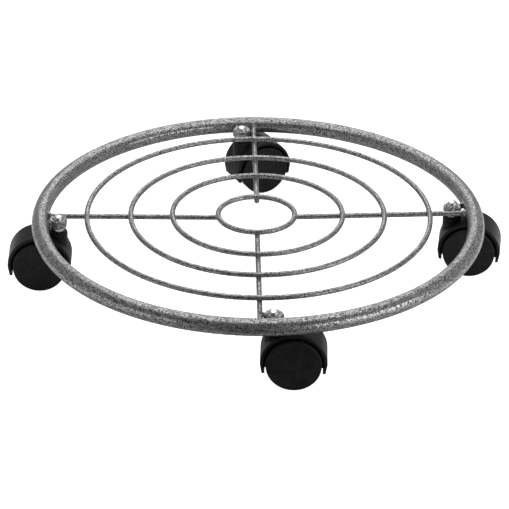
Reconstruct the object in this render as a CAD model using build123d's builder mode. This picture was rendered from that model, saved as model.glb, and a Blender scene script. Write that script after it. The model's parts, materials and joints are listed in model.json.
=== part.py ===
"""Plant pot caddy: a round wire grid in a tube ring, rolling on four hooded twin-wheel casters.

Frame: origin on the floor under the middle of the tube ring, +Z up, +X to the right-hand caster.
All dimensions in millimetres.
"""

from build123d import *
import math
import os

# Tube ring and wire grid
ring_radius = 166.0
tube_diameter = 12.7
wire_diameter = 4.0
grid_ring_radii = {"inner": 29.2, "second": 64.9, "third": 96.7, "outer": 130.7}
grid_ring_shifts = {"inner": (-1.3, -1.2), "second": (-0.5, -0.2), "third": (-0.4, 0.0), "outer": (0.3, 0.2)}
weld_sink = 0.4
spoke_end_chamfer = 0.4
spoke_inner_ends = {"front": 28.0, "right": 26.5, "back": 27.4, "left": 29.0}

# Wheels
wheel_radius = 20.0
wheel_face_offset = 15.0
wheel_gap_to_web = 0.4
wheel_face_plate = 2.0
rim_thickness = 2.6
hub_radius = 5.6
rib_count = 6
rib_thickness = 1.2
wheel_edge_radius = 0.7
wheel_bore_clearance = 0.05

# Axle pin
axle_radius = 2.5
axle_end_margin = 0.3
axle_chamfer = 0.4

# Hood
caster_trail = 14.7
hood_radius = 24.1
hood_wall = 2.2
hood_half_width = 13.0
hood_skirt = 7.5
hood_skirt_draft = 1.3
hood_edge_radius = 0.8
hood_tip_radius = 0.9
wheel_well_side_room = 1.0
wheel_well_draft = 1.2
web_half_thickness = 4.2
axle_boss_radius = 6.0
neck_radius = 7.0
neck_depth = 15.0
neck_edge_radius = 0.8

# Stem, its clip and the nut that holds it
stem_reaches = {"front": 152.4, "right": 150.6, "back": 149.8, "left": 151.9}
stem_offsets = {"front": 9.7, "right": 9.55, "back": 9.9, "left": 10.6}
stem_gap = 0.2
journal_radius = 3.0
journal_length = 17.5
journal_clearance = 0.06
journal_chamfer = 0.5
collar_radius = 4.8
collar_heights = {"front": 3.9, "right": 2.1, "back": 3.9, "left": 3.9}
thread_radius = 3.95
stem_end_above_tube_centre = 6.1
tube_centre_above_hood = 7.0
stem_end_rounding = 2.2
nut_flats = 13.0
nut_height = 6.5
nut_bore_radius = 4.0
nut_chamfer = 0.9
clip_inner_radius = 2.55
clip_outer_radius = 3.7
clip_thickness = 1.0
clip_split = 2.0
clip_depth = 6.5
clip_groove_clearance = 0.4

# Weld beads
bead_radius = 1.3
nut_bead_radius = 1.9
nut_bead_offset = 7.6

# The welded spokes point a little off true and miss the middle by their side shifts.
spoke_directions = {"front": -88.8, "right": 4.0, "back": 91.5, "left": 180.3}
spoke_side_shifts = {"front": -1.1, "right": 0.0, "back": 0.4, "left": 0.0}

# Each caster stands beside one spoke and trails in its own direction.
trailing_directions = {"front": -1.0, "right": -7.0, "back": 27.0, "left": 182.0}

# Heights worked out from the wheel upwards
axle_height = wheel_radius
hood_top = axle_height + hood_radius
collar_bottom = hood_top + stem_gap
tube_centre = hood_top + tube_centre_above_hood
spoke_centre = tube_centre
grid_centre = spoke_centre + wire_diameter - weld_sink
stem_top = tube_centre + stem_end_above_tube_centre
tube_inner_radius = ring_radius - tube_diameter / 2
cavity_radius = hood_radius - hood_wall
cavity_depth = wheel_face_offset + wheel_well_side_room
wheel_inner_offset = web_half_thickness + wheel_gap_to_web


def direction(degrees):
    """Unit vector in the floor plane at an angle from +X."""
    return Vector(math.cos(math.radians(degrees)), math.sin(math.radians(degrees)), 0)


def nut_bottom(place):
    """Height of the underside of one nut, which rests on its stem's collar."""
    return collar_bottom + collar_heights[place]


def spoke_plane(place, height):
    """Level plane with its x axis along one spoke and its origin beside the middle of the grid."""
    along = direction(spoke_directions[place])
    aside = direction(spoke_directions[place] + 90)
    return Plane(
        origin=aside * spoke_side_shifts[place] + Vector(0, 0, height),
        x_dir=along,
        z_dir=(0, 0, 1),
    )


def stem_foot(place, height=0.0):
    """Point on one caster's swivel axis."""
    level = spoke_plane(place, height)
    return level.from_local_coords((stem_reaches[place], stem_offsets[place], 0))


def caster_plane(place, height):
    """Level plane on one caster's swivel axis, its x axis along the trailing direction."""
    return Plane(
        origin=stem_foot(place, height),
        x_dir=direction(trailing_directions[place]),
        z_dir=(0, 0, 1),
    )


def upright_plane(level):
    """Upright plane through a level plane's origin, x axis kept and y axis up."""
    return Plane(origin=level.origin, x_dir=level.x_dir, z_dir=-level.y_dir)


def side_plane(place):
    """Upright plane down the middle of one caster, centred on its axle, y axis up."""
    level = caster_plane(place, axle_height)
    level.origin = level.from_local_coords((caster_trail, 0, 0))
    return upright_plane(level)


def finish(part, name):
    """Label one finished piece and write it to its own file."""
    part.label = name
    export_step(part, f"parts/{name}.step")


def make_outer_ring():
    """Round tube bent into a closed ring."""
    with BuildPart() as outer_ring:
        with BuildSketch(Plane.XZ):
            with Locations((ring_radius, tube_centre)):
                Circle(tube_diameter / 2)
        revolve(axis=Axis.Z)
    return outer_ring.part


def make_grid_ring(size_name):
    """Closed wire ring lying on the spokes."""
    shift_x, shift_y = grid_ring_shifts[size_name]
    upright = Plane(origin=(shift_x, shift_y, grid_centre), x_dir=(1, 0, 0), z_dir=(0, -1, 0))
    with BuildPart() as grid_ring:
        with BuildSketch(upright):
            with Locations((grid_ring_radii[size_name], 0)):
                Circle(wire_diameter / 2)
        revolve(axis=Axis(upright.origin, (0, 0, 1)))
    return grid_ring.part


def make_spoke(place):
    """Straight wire from inside the smallest ring to the wall of the tube."""
    level = spoke_plane(place, spoke_centre)
    start = spoke_inner_ends[place]
    end_plane = Plane(
        origin=level.from_local_coords((start, 0, 0)),
        x_dir=level.y_dir,
        z_dir=level.x_dir,
    )
    with BuildPart() as spoke:
        with BuildSketch(end_plane):
            Circle(wire_diameter / 2)
        extrude(amount=tube_inner_radius + weld_sink - start)
        inner_end = spoke.faces().sort_by(Axis(level.origin, level.x_dir))[0]
        chamfer(inner_end.edges(), spoke_end_chamfer)
    return spoke.part


def make_weld_nut(place):
    """Hexagon nut, one corner against the spoke and one flat facing the tube."""
    level = spoke_plane(place, nut_bottom(place))
    foot = Plane(
        origin=stem_foot(place, nut_bottom(place)),
        x_dir=level.x_dir,
        z_dir=(0, 0, 1),
    )
    with BuildPart() as weld_nut:
        with BuildSketch(foot):
            RegularPolygon(nut_flats / 2, 6, major_radius=False, rotation=30)
            Circle(nut_bore_radius, mode=Mode.SUBTRACT)
        extrude(amount=nut_height)
        across_corners = nut_flats / math.cos(math.radians(30))
        with BuildSketch(upright_plane(foot)):
            with BuildLine():
                cone_drop = nut_chamfer * math.tan(math.radians(30))
                Polyline(
                    (0, 0),
                    (across_corners / 2 - nut_chamfer, 0),
                    (across_corners / 2, cone_drop),
                    (across_corners / 2, nut_height - cone_drop),
                    (across_corners / 2 - nut_chamfer, nut_height),
                    (0, nut_height),
                    close=True,
                )
            make_face()
        revolve(axis=Axis(foot.origin, (0, 0, 1)), mode=Mode.INTERSECT)
    return weld_nut.part


def make_stem(place):
    """Turned stem: domed threaded end, collar, and plain journal grooved for the clip."""
    level = caster_plane(place, 0)
    journal_end = collar_bottom - journal_length
    groove_low = hood_top - clip_depth - clip_thickness / 2
    groove_high = groove_low + clip_thickness
    with BuildPart() as stem:
        with BuildSketch(upright_plane(level)):
            with BuildLine():
                Polyline(
                    (0, stem_top),
                    (0, journal_end),
                    (journal_radius - journal_chamfer, journal_end),
                    (journal_radius, journal_end + journal_chamfer),
                    (journal_radius, groove_low),
                    (clip_inner_radius, groove_low),
                    (clip_inner_radius, groove_high),
                    (journal_radius, groove_high),
                    (journal_radius, collar_bottom),
                    (collar_radius, collar_bottom),
                    (collar_radius, nut_bottom(place)),
                    (thread_radius, nut_bottom(place)),
                    (thread_radius, stem_top),
                    close=True,
                )
            make_face()
        revolve(axis=Axis(level.origin, (0, 0, 1)))
        fillet(stem.edges().sort_by(Axis.Z)[-1], stem_end_rounding)
    return stem.part


def make_stem_clip(place):
    """Split spring ring in the journal's groove that keeps the hood on its stem."""
    level = caster_plane(place, hood_top - clip_depth - clip_thickness / 2)
    with BuildPart() as stem_clip:
        with BuildSketch(level):
            Circle(clip_outer_radius)
            Circle(clip_inner_radius, mode=Mode.SUBTRACT)
            with Locations((clip_outer_radius, 0)):
                Rectangle(2 * clip_outer_radius, clip_split, mode=Mode.SUBTRACT)
        extrude(amount=clip_thickness)
    return stem_clip.part


def make_hood(place):
    """Moulded hood: arch over the wheels, centre web, and neck round the stem."""
    side = side_plane(place)
    axle_axis = Axis(side.origin, side.z_dir)
    with BuildPart() as hood:
        # Arch with two short skirts that taper inwards
        with BuildSketch(side):
            with BuildLine():
                ThreePointArc((-hood_radius, 0), (0, hood_radius), (hood_radius, 0))
                Polyline(
                    (hood_radius, 0),
                    (hood_radius - hood_skirt_draft, -hood_skirt),
                    (-hood_radius + hood_skirt_draft, -hood_skirt),
                    (-hood_radius, 0),
                )
            make_face()
        extrude(amount=hood_half_width, both=True)
        tips = hood.edges().filter_by(axle_axis).group_by(Axis.Z)[0]
        fillet(tips, hood_tip_radius)
        cheek_edges = hood.faces().filter_by(axle_axis).edges()
        fillet(cheek_edges.sort_by(Axis.Z)[2:], hood_edge_radius)

        # Neck round the stem
        with BuildSketch(caster_plane(place, hood_top)):
            Circle(neck_radius)
        extrude(amount=-neck_depth)
        fillet(hood.faces().filter_by(Axis.Z).sort_by(Axis.Z)[-1].edges(), neck_edge_radius)

        # Room for the wheel on each side of the centre web
        for way in (1, -1):
            web_face = Plane(
                origin=side.origin + side.z_dir * (way * web_half_thickness),
                x_dir=side.x_dir,
                z_dir=side.z_dir,
            )
            with BuildSketch(web_face):
                Circle(cavity_radius)
                Polygon(
                    (cavity_radius, 0),
                    (-cavity_radius, 0),
                    (-cavity_radius + wheel_well_draft, -hood_skirt),
                    (cavity_radius - wheel_well_draft, -hood_skirt),
                    align=None,
                )
            extrude(amount=way * cavity_depth, mode=Mode.SUBTRACT)

        # Boss for the axle and its hole through the web
        with BuildSketch(side):
            Circle(axle_boss_radius)
        extrude(amount=web_half_thickness, both=True)
        with BuildSketch(side):
            Circle(axle_radius)
        extrude(amount=web_half_thickness, both=True, mode=Mode.SUBTRACT)

        # Blind hole for the stem's journal, with a groove for the clip
        with BuildSketch(caster_plane(place, hood_top)):
            Circle(journal_radius + journal_clearance)
        extrude(amount=-(journal_length + stem_gap), mode=Mode.SUBTRACT)
        groove_height = clip_thickness + 2 * clip_groove_clearance
        with BuildSketch(caster_plane(place, hood_top - clip_depth - groove_height / 2)):
            Circle(clip_outer_radius + clip_groove_clearance)
        extrude(amount=groove_height, mode=Mode.SUBTRACT)
    return hood.part


def make_axle(place):
    """Steel pin pressed through the web, carrying a wheel on each end."""
    side = side_plane(place)
    half_length = wheel_face_offset - wheel_face_plate - axle_end_margin
    with BuildPart() as axle:
        with BuildSketch(side):
            Circle(axle_radius)
        extrude(amount=half_length, both=True)
        chamfer(axle.edges(), axle_chamfer)
    return axle.part


def make_wheel(place, way):
    """Dished wheel: closed outer face, rim, hub with a blind bore, and ribs between them."""
    side = side_plane(place)
    inner_face = Plane(
        origin=side.origin + side.z_dir * (way * wheel_inner_offset),
        x_dir=side.x_dir,
        z_dir=side.z_dir * way,
    )
    wheel_width = wheel_face_offset - wheel_inner_offset
    hollow_depth = wheel_width - wheel_face_plate
    rim_inner_radius = wheel_radius - rim_thickness
    with BuildPart() as wheel:
        with BuildSketch(inner_face):
            Circle(wheel_radius)
        extrude(amount=wheel_width)
        fillet(wheel.edges(), wheel_edge_radius)
        with BuildSketch(inner_face):
            Circle(rim_inner_radius)
            Circle(hub_radius, mode=Mode.SUBTRACT)
            with PolarLocations(0, rib_count):
                with Locations(((rim_inner_radius + hub_radius) / 2, 0)):
                    rib_length = rim_inner_radius - hub_radius + wheel_edge_radius
                    Rectangle(rib_length, rib_thickness, mode=Mode.SUBTRACT)
        extrude(amount=hollow_depth, mode=Mode.SUBTRACT)
        with BuildSketch(inner_face):
            Circle(axle_radius + wheel_bore_clearance)
        extrude(amount=hollow_depth, mode=Mode.SUBTRACT)
    return wheel.part


def make_weld_beads():
    """Weld beads: round each spoke at the tube, and beside each nut at the tube and the spoke."""
    with BuildPart() as weld_beads:
        for place in spoke_directions:
            level = spoke_plane(place, spoke_centre)
            nut_middle = nut_bottom(place) + nut_height / 2 - spoke_centre
            bead_centres = [
                (tube_inner_radius - bead_radius / 2, 0, 0),
                (tube_inner_radius - bead_radius / 2, nut_bead_offset, nut_middle),
                (stem_reaches[place], wire_diameter / 2 + bead_radius / 2, 0),
            ]
            bead_radii = [wire_diameter / 2 + bead_radius, nut_bead_radius, nut_bead_radius]
            for centre, radius in zip(bead_centres, bead_radii):
                with Locations(Location(level.from_local_coords(centre))):
                    Sphere(radius)
    return weld_beads.part


os.makedirs("parts", exist_ok=True)
finish(make_outer_ring(), "outer_ring")
for size_name in grid_ring_radii:
    finish(make_grid_ring(size_name), f"grid_ring_{size_name}")
finish(make_weld_beads(), "weld_beads")
for place in spoke_directions:
    finish(make_spoke(place), f"{place}_spoke")
    finish(make_weld_nut(place), f"{place}_weld_nut")
    finish(make_stem(place), f"{place}_stem")
    finish(make_stem_clip(place), f"{place}_stem_clip")
    finish(make_hood(place), f"{place}_caster_hood")
    finish(make_axle(place), f"{place}_caster_axle")
    finish(make_wheel(place, 1), f"{place}_caster_wheel_right")
    finish(make_wheel(place, -1), f"{place}_caster_wheel_left")
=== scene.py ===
"""Looks of the plant pot caddy: coated tube-and-wire frame on four black twin-wheel casters.

Every length is in metres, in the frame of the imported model: floor at z 0, +Z up.
"""

import json
import math
import random

import bmesh
import bpy
from mathutils import Matrix, Vector, noise


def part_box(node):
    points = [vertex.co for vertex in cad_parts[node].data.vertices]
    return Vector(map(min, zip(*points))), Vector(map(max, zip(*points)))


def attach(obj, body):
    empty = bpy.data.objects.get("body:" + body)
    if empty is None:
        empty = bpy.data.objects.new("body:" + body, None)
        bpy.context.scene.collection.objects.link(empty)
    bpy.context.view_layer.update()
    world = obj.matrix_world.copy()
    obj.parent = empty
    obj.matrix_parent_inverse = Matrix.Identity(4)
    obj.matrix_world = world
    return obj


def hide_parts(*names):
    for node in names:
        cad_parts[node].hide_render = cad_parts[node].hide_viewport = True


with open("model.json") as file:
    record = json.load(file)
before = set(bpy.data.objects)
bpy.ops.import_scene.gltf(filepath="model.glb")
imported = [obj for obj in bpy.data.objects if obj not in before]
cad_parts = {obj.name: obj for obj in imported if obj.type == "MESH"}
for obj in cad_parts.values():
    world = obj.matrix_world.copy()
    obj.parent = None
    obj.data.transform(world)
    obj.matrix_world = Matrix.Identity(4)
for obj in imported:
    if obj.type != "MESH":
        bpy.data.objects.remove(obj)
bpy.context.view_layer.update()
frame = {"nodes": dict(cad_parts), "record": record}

PLACES = ("front", "right", "back", "left")
RINGS = ("inner", "second", "third", "outer")
MM = 0.001

# Sizes of the CAD pieces that the detailed pieces stand for
WIRE_RADIUS = 2.0 * MM
TUBE_RADIUS = 6.35 * MM
COLLAR_BOTTOM = 44.3 * MM
COLLAR_RADIUS = 4.8 * MM
JOURNAL_RADIUS = 3.0 * MM
GROOVE_RADIUS = 2.55 * MM
GROOVE_LOW = 37.1 * MM
GROOVE_HIGH = 38.1 * MM
THREAD_RADIUS = 3.95 * MM
THREAD_DEPTH = 0.62 * MM
THREAD_PITCH = 1.25 * MM
NUT_BORE_RADIUS = 3.85 * MM
NUT_HALF_FLATS = 6.5 * MM

# How far each spoke's weld climbs up the tube's flank, in degrees
WELD_CLIMB = {"front": 20, "right": 12, "back": 50, "left": 25}

# The camera fitted to the photo
CAMERA_DISTANCE = 1.8094
CAMERA_ELEVATION = 27.57
CAMERA_LOOK_DOWN = 28.46
CAMERA_LOOK_ASIDE = -0.09
CAMERA_ROLL = 0.55
LENS_IN_FRAME_WIDTHS = 2370 / 509


def middle(node):
    """Middle of a CAD node's box."""
    low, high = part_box(node)
    return (low + high) / 2


# ---------------------------------------------------------------- camera

def make_camera():
    """Camera at the product shot's angle: in front, 28 degrees above the tube ring."""
    height_angle = math.radians(CAMERA_ELEVATION)
    look_down = math.radians(CAMERA_LOOK_DOWN)
    look_aside = math.radians(CAMERA_LOOK_ASIDE)
    tilt = math.radians(CAMERA_ROLL)
    data = bpy.data.cameras.new("product_camera")
    data.sensor_width = 36
    data.lens = data.sensor_width * LENS_IN_FRAME_WIDTHS
    data.clip_start = 0.05
    camera = bpy.data.objects.new("product_camera", data)
    bpy.context.scene.collection.objects.link(camera)
    forward = Vector((
        math.sin(look_aside) * math.cos(look_down),
        math.cos(look_aside) * math.cos(look_down),
        -math.sin(look_down),
    ))
    level_right = Vector((math.cos(look_aside), -math.sin(look_aside), 0))
    level_up = level_right.cross(forward)
    right = math.cos(tilt) * level_right + math.sin(tilt) * level_up
    up = math.cos(tilt) * level_up - math.sin(tilt) * level_right
    turn = Matrix((right, up, -forward)).transposed().to_4x4()
    away = Vector((0, -math.cos(height_angle), math.sin(height_angle)))
    place = middle("outer_ring") + CAMERA_DISTANCE * away
    camera.matrix_world = Matrix.Translation(place) @ turn
    bpy.context.scene.camera = camera


# ---------------------------------------------------------------- materials

class Nodes:
    """Short way to add and link shader nodes."""

    def __init__(self, tree):
        self.tree = tree
        tree.nodes.clear()

    def add(self, kind, inputs=None, **settings):
        """A node with its settings; each input is a value or another node's socket."""
        node = self.tree.nodes.new(kind)
        for key, value in settings.items():
            setattr(node, key, value)
        for key, value in (inputs or {}).items():
            if isinstance(value, bpy.types.NodeSocket):
                self.tree.links.new(value, node.inputs[key])
            else:
                node.inputs[key].default_value = value
        return node

    def object_place(self):
        """Point on the piece, in metres from the model's origin at rest."""
        return self.add("ShaderNodeTexCoord").outputs["Object"]

    def ramp(self, factor, stops):
        """Colour ramp through (position, colour) stops."""
        node = self.add("ShaderNodeValToRGB", {"Fac": factor})
        while len(node.color_ramp.elements) < len(stops):
            node.color_ramp.elements.new(0.5)
        for element, (position, colour) in zip(node.color_ramp.elements, stops):
            element.position = position
            element.color = (*colour, 1)
        return node.outputs["Color"]

    def math(self, operation, *values):
        """One sum on sockets and numbers."""
        return self.add("ShaderNodeMath", dict(enumerate(values)),
                        operation=operation).outputs["Value"]

    def cells(self, place, scale, feature, output):
        """One output of a Voronoi texture."""
        return self.add("ShaderNodeTexVoronoi", {"Vector": place, "Scale": scale},
                        feature=feature).outputs[output]

    def noise(self, place, scale, detail=2.0, roughness=0.5):
        """Noise about 1 / scale metres across."""
        return self.add("ShaderNodeTexNoise", {
            "Vector": place, "Scale": scale, "Detail": detail, "Roughness": roughness,
        }).outputs["Fac"]

    def distance(self, place, centre):
        """How far a point is from a fixed centre."""
        return self.add("ShaderNodeVectorMath", {0: place, 1: centre},
                        operation="DISTANCE").outputs["Value"]

    def bump(self, height, strength, distance, normal=None):
        """Normal bent by a height, on top of another bump's normal if there is one."""
        inputs = {"Height": height, "Strength": strength, "Distance": distance}
        if normal is not None:
            inputs["Normal"] = normal
        return self.add("ShaderNodeBump", inputs).outputs["Normal"]

    def emission(self, colour):
        """Light of the strength that its colour gives."""
        return self.add("ShaderNodeEmission",
                        {"Color": colour, "Strength": 1.0}).outputs["Emission"]

    def both(self, first, second):
        """Two shaders added together."""
        return self.add("ShaderNodeAddShader", {0: first, 1: second}).outputs["Shader"]

    def by_ray(self, for_light, for_camera):
        """One shader for light and reflections, another for what the camera sees directly."""
        seen = self.add("ShaderNodeLightPath").outputs["Is Camera Ray"]
        return self.add("ShaderNodeMixShader",
                        {"Fac": seen, 1: for_light, 2: for_camera}).outputs["Shader"]

    def surface(self, **inputs):
        """Principled surface; an underscore in an input's name stands for a space."""
        named = {key.replace("_", " "): value for key, value in inputs.items()}
        shader = self.add("ShaderNodeBsdfPrincipled", named)
        self.add("ShaderNodeOutputMaterial", {"Surface": shader.outputs["BSDF"]})


def new_material(name):
    """A node material and its nodes."""
    material = bpy.data.materials.new(name)
    material.use_nodes = True
    return material, Nodes(material.node_tree)


def grey(value):
    """Neutral colour."""
    return (value, value, value)


def hammertone():
    """Hammered silver-grey coating: metallic flake, small dark pits and soft dents."""
    material, nodes = new_material("hammertone_coating")
    place = nodes.object_place()
    cell_colour = nodes.cells(place, 1350.0, "F1", "Color")
    flake = nodes.add("ShaderNodeSeparateColor", {"Color": cell_colour}).outputs["Red"]
    grain = nodes.noise(place, 1700.0, 2.0, 0.6)
    shade = nodes.math("MULTIPLY_ADD", flake, 0.5, nodes.math("MULTIPLY", grain, 0.6))
    metal = nodes.ramp(shade, [
        (0.32, grey(0.07)),
        (0.43, (0.26, 0.26, 0.256)),
        (0.58, (0.42, 0.42, 0.413)),
        (0.80, (0.66, 0.66, 0.65)),
    ])
    pits = nodes.ramp(nodes.cells(place, 820.0, "F1", "Distance"),
                      [(0.30, grey(0.0)), (0.38, grey(1.0))])
    # The Mix node's sockets share names: 0 is the factor, 6 and 7 the colours, out comes 2
    colour = nodes.add("ShaderNodeMix", {0: 1.0, 6: metal, 7: pits}, data_type="RGBA",
                       blend_type="MULTIPLY").outputs[2]
    gloss = nodes.ramp(shade, [(0.25, grey(0.42)), (0.7, grey(0.24))])
    dents = nodes.cells(place, 430.0, "SMOOTH_F1", "Distance")
    pitted = nodes.bump(pits, 0.3, 0.0002, nodes.bump(dents, 0.16, 0.0006))
    nodes.surface(Base_Color=colour, Metallic=0.66, Roughness=gloss, Normal=pitted,
                  Specular_Tint=(0.9, 0.9, 0.9, 1), Specular_IOR_Level=0.4)
    return material


def zinc():
    """Bright zinc plate with a faint blue cast, clouded in tone and gloss."""
    material, nodes = new_material("bright_zinc")
    place = nodes.object_place()
    cloud = nodes.noise(place, 700.0, 3.0)
    colour = nodes.ramp(cloud, [(0.3, (0.60, 0.64, 0.67)), (0.7, (0.86, 0.89, 0.92))])
    gloss = nodes.ramp(cloud, [(0.3, grey(0.34)), (0.7, grey(0.22))])
    nodes.surface(Base_Color=colour, Metallic=1.0, Roughness=gloss,
                  Normal=nodes.bump(cloud, 0.3, 0.0002))
    return material


def spring_steel():
    """Dark oiled spring wire."""
    material, nodes = new_material("spring_steel")
    place = nodes.object_place()
    cloud = nodes.noise(place, 900.0, 3.0)
    colour = nodes.ramp(cloud, [(0.3, grey(0.10)), (0.7, grey(0.22))])
    gloss = nodes.ramp(cloud, [(0.3, grey(0.45)), (0.7, grey(0.3))])
    nodes.surface(Base_Color=colour, Metallic=1.0, Roughness=gloss)
    return material


def moulded_plastic(name, dark, light, smooth, rough, grain, specular):
    """Black moulded plastic: fine spark-eroded grain, faint clouds in tone and gloss."""
    material, nodes = new_material(name)
    place = nodes.object_place()
    clouds = nodes.noise(place, 380.0, 4.0, 0.6)
    drift = nodes.noise(place, 90.0, 2.0)
    fine = nodes.noise(place, 2600.0, 2.0)
    mixed = nodes.math("MULTIPLY_ADD", clouds, 0.6, nodes.math("MULTIPLY", drift, 0.4))
    colour = nodes.ramp(mixed, [(0.36, dark), (0.64, light)])
    gloss = nodes.ramp(mixed, [(0.36, grey(rough)), (0.64, grey(smooth))])
    nodes.surface(Base_Color=colour, Roughness=gloss, Specular_IOR_Level=specular,
                  Normal=nodes.bump(fine, grain, 0.0001))
    return material


def studio_floor_material():
    """White board, blown out for the camera, that lights the object.

    It fades away from the middle as a painted pool of light, has a painted shadow patch in front,
    and glows to the left and right with painted light.
    """
    material, nodes = new_material("white_board")
    place = nodes.object_place()
    speck = nodes.math("MULTIPLY", nodes.noise(place, 40.0, 3.0), 0.02)
    from_middle = nodes.distance(place, (0.0, 0.10, 0.0))
    from_painted_shadow = nodes.distance(place, (0.0, -0.34, 0.0))
    along_x = nodes.add("ShaderNodeSeparateXYZ", {0: place}).outputs["X"]
    sideways = nodes.math("ABSOLUTE", along_x)
    # Painted pool of light: the board is light in the middle and darker further out
    painted_light_pool = nodes.ramp(nodes.math("ADD", from_middle, speck), [
        (0.48, grey(0.74)), (0.75, grey(0.10)),
    ])
    # Painted shadow: a dark patch on the board in front of the object
    painted_shadow_patch = nodes.ramp(nodes.math("ADD", from_painted_shadow, speck), [
        (0.125, grey(0.06)), (0.165, grey(1.0)),
    ])
    # Painted glow: the board gives off light to the left and right, where there is no lamp
    side_glow = nodes.ramp(nodes.math("ADD", sideways, speck), [
        (0.19, grey(0.0)), (0.22, grey(0.5)), (0.42, grey(0.5)), (0.60, grey(0.0)),
    ])
    # Painted pool of light times painted shadow: the board's tone for light and reflections
    tone = nodes.math("MULTIPLY", painted_light_pool, painted_shadow_patch)
    board = nodes.add("ShaderNodeBsdfDiffuse", {"Color": tone}).outputs["BSDF"]
    surface = nodes.by_ray(nodes.both(board, nodes.emission(side_glow)),
                           nodes.both(board, nodes.emission((1, 1, 1, 1))))
    nodes.add("ShaderNodeOutputMaterial", {"Surface": surface})
    return material


MATERIALS = {
    "hammertone_frame": hammertone(),
    "zinc_steel": zinc(),
    "spring_steel": spring_steel(),
    "hood_plastic": moulded_plastic(
        "hood_plastic", grey(0.009), grey(0.018), 0.36, 0.46, 0.25, 0.2),
    "wheel_plastic": moulded_plastic(
        "wheel_plastic", grey(0.006), grey(0.022), 0.34, 0.5, 0.35, 0.22),
}


def dress_cad_nodes():
    """Give every CAD node the finish of its slot in the record."""
    slots = {part["node"]: part["material_slot"] for part in frame["record"]["subparts"]}
    for name, piece in frame["nodes"].items():
        material = MATERIALS[slots[name]]
        if not piece.material_slots:
            piece.data.materials.append(material)
        for material_slot in piece.material_slots:
            material_slot.material = material


# ---------------------------------------------------------------- detailed pieces

def add_piece(name, mesh, slot_name, *replaced):
    """A mesh piece that rides on the frame body."""
    mesh.materials.append(MATERIALS[slot_name])
    piece = bpy.data.objects.new(name, mesh)
    bpy.context.scene.collection.objects.link(piece)
    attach(piece, "frame")
    if replaced:
        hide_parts(*replaced)
    return piece


def turned_mesh(name, centre, rows, steps, bored=False):
    """Turned mesh. Each row is a function of the angle that gives (radius, height).

    Its ends are closed, or bored through where the last row joins the first.
    """
    mesh = bpy.data.meshes.new(name)
    shape = bmesh.new()
    rings = []
    for row in rows:
        ring = []
        for step in range(steps):
            angle = math.tau * step / steps
            radius, height = row(angle)
            ring.append(shape.verts.new((
                centre.x + radius * math.cos(angle), centre.y + radius * math.sin(angle), height,
            )))
        rings.append(ring)
    next_rings = rings[1:] + rings[:1] if bored else rings[1:]
    for lower, upper in zip(rings, next_rings):
        for step in range(steps):
            after = (step + 1) % steps
            shape.faces.new((lower[step], lower[after], upper[after], upper[step]))
    if not bored:
        shape.faces.new(list(reversed(rings[0])))
        shape.faces.new(rings[-1])
    bmesh.ops.recalc_face_normals(shape, faces=shape.faces)
    for face in shape.faces:
        face.smooth = True
    shape.to_mesh(mesh)
    shape.free()
    return mesh


def even_row(radius, height):
    """Row of the same radius all round."""
    return lambda angle: (radius, height)


def make_stem(place):
    """Stem with a rolled thread, a lens-shaped end, a collar, and the journal with its groove."""
    low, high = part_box(f"{place}_stem")
    thread_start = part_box(f"{place}_weld_nut")[0].z
    bevel = 0.25 * MM
    end_bevel = 0.5 * MM
    dome_height = 1.7 * MM
    dome_start = high.z - dome_height
    dome_radius = THREAD_RADIUS - THREAD_DEPTH * 0.6
    fade_length = 0.8 * MM

    def thread_row(height):
        def row(angle):
            turns = (height / THREAD_PITCH - angle / math.tau) % 1
            crest = 1 - abs(2 * turns - 1)
            radius = THREAD_RADIUS - THREAD_DEPTH * (1 - min(1, 1.35 * crest))
            fade = min(1, max(0, (dome_start + fade_length / 2 - height) / fade_length))
            return (dome_radius + (radius - dome_radius) * fade, height)
        return row

    rows = [even_row(radius, height) for radius, height in (
        (JOURNAL_RADIUS - end_bevel, low.z),
        (JOURNAL_RADIUS, low.z + end_bevel),
        (JOURNAL_RADIUS, GROOVE_LOW),
        (GROOVE_RADIUS, GROOVE_LOW),
        (GROOVE_RADIUS, GROOVE_HIGH),
        (JOURNAL_RADIUS, GROOVE_HIGH),
        (JOURNAL_RADIUS, COLLAR_BOTTOM),
        (COLLAR_RADIUS - bevel, COLLAR_BOTTOM),
        (COLLAR_RADIUS, COLLAR_BOTTOM + bevel),
        (COLLAR_RADIUS, thread_start - bevel),
        (COLLAR_RADIUS - bevel, thread_start),
    )]
    row_gap = 0.08 * MM
    thread_rows = int((dome_start - thread_start) / row_gap)
    rows += [thread_row(thread_start + row_gap * k) for k in range(thread_rows)]
    dome_rows = 12
    for k in range(dome_rows):
        turn = math.pi / 2 * k / dome_rows
        rows.append(even_row(dome_radius * math.cos(turn),
                             dome_start + dome_height * math.sin(turn)))
    rows.append(even_row(0.05 * MM, high.z))
    mesh = turned_mesh(f"{place}_stem_turned", (low + high) / 2, rows, 48)
    add_piece(f"{place}_stem_turned", mesh, "zinc_steel", f"{place}_stem")


def corner_angle(node, centre):
    """Direction of one corner of a CAD nut, from its own mesh."""
    far = max(frame["nodes"][node].data.vertices,
              key=lambda v: (v.co.x - centre.x) ** 2 + (v.co.y - centre.y) ** 2)
    return math.atan2(far.co.y - centre.y, far.co.x - centre.x)


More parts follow.
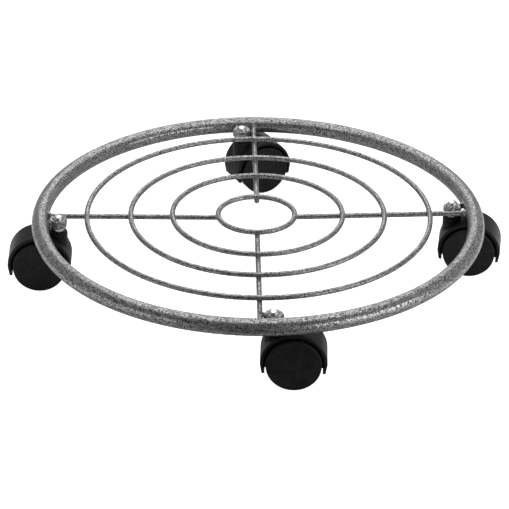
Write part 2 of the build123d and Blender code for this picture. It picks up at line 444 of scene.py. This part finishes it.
def make_nut(place):
    """Hexagon nut under thick paint: rounded corners and a deep round chamfer on both faces."""
    node = f"{place}_weld_nut"
    low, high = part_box(node)
    centre = (low + high) / 2
    corner = corner_angle(node, centre)
    sixth_turn = math.pi / 3
    face_radius = 6.2 * MM
    softness = 0.22 * MM
    chamfer_slope = math.tan(math.radians(32))
    paint_lumps = 0.08 * MM

    def hexagon(angle):
        turned = (angle - corner + sixth_turn / 2) % sixth_turn - sixth_turn / 2
        return NUT_HALF_FLATS / math.cos(sixth_turn / 2 - abs(turned))

    def soft_min(a, b):
        gap = max(0, 1 - abs(a - b) / (4 * softness))
        return min(a, b) - softness * gap * gap

    def side_row(height):
        from_face = min(height - low.z, high.z - height)
        limit = face_radius + from_face / chamfer_slope

        def row(angle):
            lumps = noise.noise(Vector((math.cos(angle), math.sin(angle), height / MM / 4)) * 3)
            return (soft_min(hexagon(angle), limit) + paint_lumps * lumps, height)
        return row

    bevel = 0.45 * MM
    face_edge = face_radius - 0.4 * MM
    side_steps = 26
    rows = [
        even_row(NUT_BORE_RADIUS, high.z - bevel),
        even_row(NUT_BORE_RADIUS, low.z + bevel),
        even_row(NUT_BORE_RADIUS + bevel, low.z),
        even_row(face_edge, low.z),
    ]
    rows += [side_row(low.z + (high.z - low.z) * k / side_steps) for k in range(side_steps + 1)]
    rows += [even_row(face_edge, high.z), even_row(NUT_BORE_RADIUS + bevel, high.z)]
    mesh = turned_mesh(f"{place}_nut_painted", centre, rows, 96, bored=True)
    add_piece(f"{place}_nut_painted", mesh, "hammertone_frame", node)


def spoke_line(place):
    """(inner end, outer end) of a spoke's centre line, from its CAD mesh."""
    corners = [v.co.copy() for v in frame["nodes"][f"{place}_spoke"].data.vertices]
    outward = sum(corners, Vector()).normalized()
    outward.z = 0
    reach = [point.dot(outward) for point in corners]
    end_slice = 0.3 * MM
    near = [p for p, r in zip(corners, reach) if r < min(reach) + end_slice]
    far = [p for p, r in zip(corners, reach) if r > max(reach) - end_slice]
    return sum(near, Vector()) / len(near), sum(far, Vector()) / len(far)


def melted_mesh(name, clusters, voxel, lump_size, lump_height):
    """One skin over each cluster of balls (centre, radius), smoothed and slightly lumpy."""
    joined = bmesh.new()
    for balls in clusters:
        shape = bmesh.new()
        for centre, radius in balls:
            bmesh.ops.create_icosphere(shape, subdivisions=2, radius=radius,
                                       matrix=Matrix.Translation(centre))
        rough = bpy.data.meshes.new(name + "_balls")
        shape.to_mesh(rough)
        shape.free()
        holder = bpy.data.objects.new(name + "_balls", rough)
        bpy.context.scene.collection.objects.link(holder)
        remesh = holder.modifiers.new("skin", "REMESH")
        remesh.mode = "VOXEL"
        remesh.voxel_size = voxel
        smooth = holder.modifiers.new("flow", "SMOOTH")
        smooth.iterations = 6
        graph = bpy.context.evaluated_depsgraph_get()
        skin = bpy.data.meshes.new_from_object(holder.evaluated_get(graph))
        for vertex in skin.vertices:
            vertex.co += vertex.normal * noise.noise(vertex.co / lump_size) * lump_height
        joined.from_mesh(skin)
        bpy.data.objects.remove(holder)
        bpy.data.meshes.remove(rough)
        bpy.data.meshes.remove(skin)
    for face in joined.faces:
        face.smooth = True
    mesh = bpy.data.meshes.new(name)
    joined.to_mesh(mesh)
    joined.free()
    return mesh


def bead_run(start, end, radius, draw):
    """Balls along a short weld run, uneven in size and place."""
    count = max(2, int((end - start).length / (0.45 * radius)))
    balls = []
    for k in range(count + 1):
        at = start.lerp(end, k / count)
        shift = Vector([draw.uniform(-0.12, 0.12) * radius for _ in range(3)])
        balls.append((at + shift, radius * draw.uniform(0.85, 1.1)))
    return balls


def make_weld_seams():
    """Welds: round each spoke's end on the tube, and from each nut to the tube and its spoke."""
    draw = random.Random(7)
    ring_low, ring_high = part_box("outer_ring")
    tube_height = (ring_low.z + ring_high.z) / 2
    ring_radius = (ring_high.x - ring_low.x) / 2 - TUBE_RADIUS
    clusters = []

    def on_tube(azimuth, rise, sink):
        """Point on the tube's skin, seen from inside the ring and turned up by rise degrees."""
        out = Vector((math.cos(azimuth), math.sin(azimuth), 0))
        turn = math.radians(rise)
        depth = TUBE_RADIUS - sink
        return (out * (ring_radius - depth * math.cos(turn))
                + Vector((0, 0, tube_height + depth * math.sin(turn))))

    for place in PLACES:
        inner_end, outer_end = spoke_line(place)
        along = (outer_end - inner_end).normalized()
        aside = Vector((-along.y, along.x, 0))
        nut = middle(f"{place}_weld_nut")
        spoke_gap = (nut - inner_end).dot(aside)

        def toward_tube(point, reach):
            """Azimuth of the place that lies reach further along the spoke's direction."""
            return math.atan2(point.y + along.y * reach, point.x + along.x * reach)

        balls = []
        # Round the spoke's end
        for turn in range(0, 360, 24):
            swing = math.radians(turn)
            at = outer_end - along * 0.9 * MM
            at += (aside * math.cos(swing) + Vector((0, 0, math.sin(swing)))) * 1.886 * MM
            balls.append((at, 1.25 * MM * draw.uniform(0.8, 1.15)))
        # Up the tube's flank
        azimuth = toward_tube(outer_end, 0)
        climb_steps = 6
        for k in range(climb_steps + 1):
            rise = WELD_CLIMB[place] * k / climb_steps
            balls.append((on_tube(azimuth, rise, 1.0 * MM), 1.9 * MM * draw.uniform(0.85, 1.1)))
        # From the nut to the tube, low on the near side and high on the far side
        for way in (-1, 1):
            beside = nut + along * 5.9 * MM + aside * way * 3.9 * MM
            azimuth = toward_tube(beside, 4 * MM)
            for lift, rise, size in ((-1.6, -14, 1.3), (1.5, 14, 1.2)):
                if way * spoke_gap < 0 and lift > 0:
                    continue
                start = beside + Vector((0, 0, lift * MM))
                balls += bead_run(start, on_tube(azimuth, rise, 0.2 * MM), size * MM, draw)
        # Thin bridge from the nut's corner to its spoke
        corner = nut - aside * math.copysign(6.9 * MM, spoke_gap)
        corner.z = min(nut.z + 1.9 * MM, tube_height + 1.5 * MM)
        spoke_side = nut - aside * spoke_gap
        spoke_side.z = tube_height + 1.5 * MM
        balls += bead_run(corner, spoke_side, 0.95 * MM, draw)
        if place == "front":
            # Thin run from the spoke, across the corner of the nut, down to the tube
            azimuth = toward_tube(nut - aside * math.copysign(1.0 * MM, spoke_gap), 6 * MM)
            leave = spoke_side - along * 3.8 * MM + Vector((0, 0, 1.4 * MM))
            balls += bead_run(leave, on_tube(azimuth, 64, 0.3 * MM), 0.85 * MM, draw)
        else:
            # Lumps where the bridge and the tube weld ran together
            drop = spoke_side + along * 4.2 * MM
            balls += bead_run(drop.lerp(corner, 0.35) + along * 1.5 * MM, drop, 0.9 * MM, draw)
        clusters.append(balls)
    mesh = melted_mesh("weld_seams", clusters, 0.28 * MM, 1.4 * MM, 0.16 * MM)
    add_piece("weld_seams", mesh, "hammertone_frame", "weld_beads")


def make_crossing_welds():
    """Small flashes where each grid ring is welded down on each spoke."""
    draw = random.Random(11)
    clusters = []
    for size_name in RINGS:
        low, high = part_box(f"grid_ring_{size_name}")
        centre = (low + high) / 2
        radius = (high.x - low.x) / 2 - WIRE_RADIUS
        for place in PLACES:
            inner_end, outer_end = spoke_line(place)
            along = (outer_end - inner_end).normalized()
            aside = Vector((-along.y, along.x, 0))
            # Where the spoke's line meets the ring's circle, half way between the two wires
            from_centre = inner_end - centre
            from_centre.z = 0
            lead = from_centre.dot(along)
            reach = -lead + math.sqrt(lead ** 2 - from_centre.length_squared + radius ** 2)
            at = inner_end + along * reach
            at.z = (inner_end.z + centre.z) / 2
            balls = []
            # In the four corners of the crossing
            for way_along in (-1, 1):
                for way_aside in (-1, 1):
                    offset = along * way_along * 1.25 * MM + aside * way_aside * 1.25 * MM
                    balls.append((at + offset, draw.uniform(0.8, 1.0) * MM))
            # Between the wires, along each of them
            for step in range(-2, 3):
                balls.append((at + along * step * 0.6 * MM, 1.1 * MM))
                balls.append((at + aside * step * 0.6 * MM, 1.1 * MM))
            clusters.append(balls)
    mesh = melted_mesh("crossing_welds", clusters, 0.25 * MM, 1.0 * MM, 0.1 * MM)
    add_piece("crossing_welds", mesh, "hammertone_frame")


# ---------------------------------------------------------------- studio

def make_floor():
    """Large round paper floor."""
    mesh = bpy.data.meshes.new("studio_floor")
    shape = bmesh.new()
    bmesh.ops.create_circle(shape, cap_ends=True, radius=12, segments=96)
    shape.to_mesh(mesh)
    shape.free()
    floor = bpy.data.objects.new("studio_floor", mesh)
    bpy.context.scene.collection.objects.link(floor)
    floor.data.materials.append(studio_floor_material())


def add_soft_box(name, place, target, size, glow):
    """Rectangular light of an even glow (radiance), unseen by the camera itself."""
    data = bpy.data.lights.new(name, "AREA")
    data.shape = "RECTANGLE"
    data.size, data.size_y = size
    data.energy = glow * math.pi * size[0] * size[1]
    light = bpy.data.objects.new(name, data)
    bpy.context.scene.collection.objects.link(light)
    light.location = place
    aim = Vector(target) - Vector(place)
    light.rotation_euler = aim.to_track_quat("-Z", "Y").to_euler()
    light.visible_camera = False


def make_world():
    """White surround for the camera; as a light it is grey behind and dark on the near side."""
    world = bpy.data.worlds.new("studio")
    bpy.context.scene.world = world
    world.use_nodes = True
    nodes = Nodes(world.node_tree)
    toward = nodes.add("ShaderNodeTexCoord").outputs["Generated"]
    parts = nodes.add("ShaderNodeSeparateXYZ", {"Vector": toward})
    lean = nodes.math("MULTIPLY_ADD", parts.outputs["Y"], 0.5, 0.5)
    tone = nodes.ramp(lean, [
        (0.05, grey(0.02)), (0.30, grey(0.08)), (0.55, grey(0.32)), (1.0, grey(0.40)),
    ])
    shaders = [
        nodes.add("ShaderNodeBackground", {"Color": colour, "Strength": 1.0}).outputs["Background"]
        for colour in (tone, (1, 1, 1, 1))
    ]
    nodes.add("ShaderNodeOutputWorld", {"Surface": nodes.by_ray(*shaders)})


def toward_object(azimuth, elevation, distance):
    """Point at an azimuth from +X and an elevation, in degrees, seen from the object."""
    turn, rise = math.radians(azimuth), math.radians(elevation)
    level = distance * math.cos(rise)
    return (level * math.cos(turn), level * math.sin(turn), distance * math.sin(rise))


def make_studio():
    """Overhead and back soft boxes, a low box at the front right, a weak one at the front left."""
    make_floor()
    make_world()
    add_soft_box("overhead", (0, 0.49, 0.67), (0, 0.49, 0), (0.70, 1.42), 1.25)
    add_soft_box("back_wall", (0, 1.2, 0.34), (0, 0, 0.34), (0.70, 0.66), 0.9)
    add_soft_box("front_right", toward_object(-38, 13, 1.0), (0, 0, 0.05), (0.95, 0.44), 2.7)
    add_soft_box("front_left", toward_object(-145, 6, 1.0), (0, 0, 0.05), (0.95, 0.40), 0.95)
    scene = bpy.context.scene
    scene.view_settings.view_transform = "Standard"
    scene.view_settings.look = "None"


make_camera()
dress_cad_nodes()
for place_name in PLACES:
    make_stem(place_name)
    make_nut(place_name)
make_weld_seams()
make_crossing_welds()
make_studio()
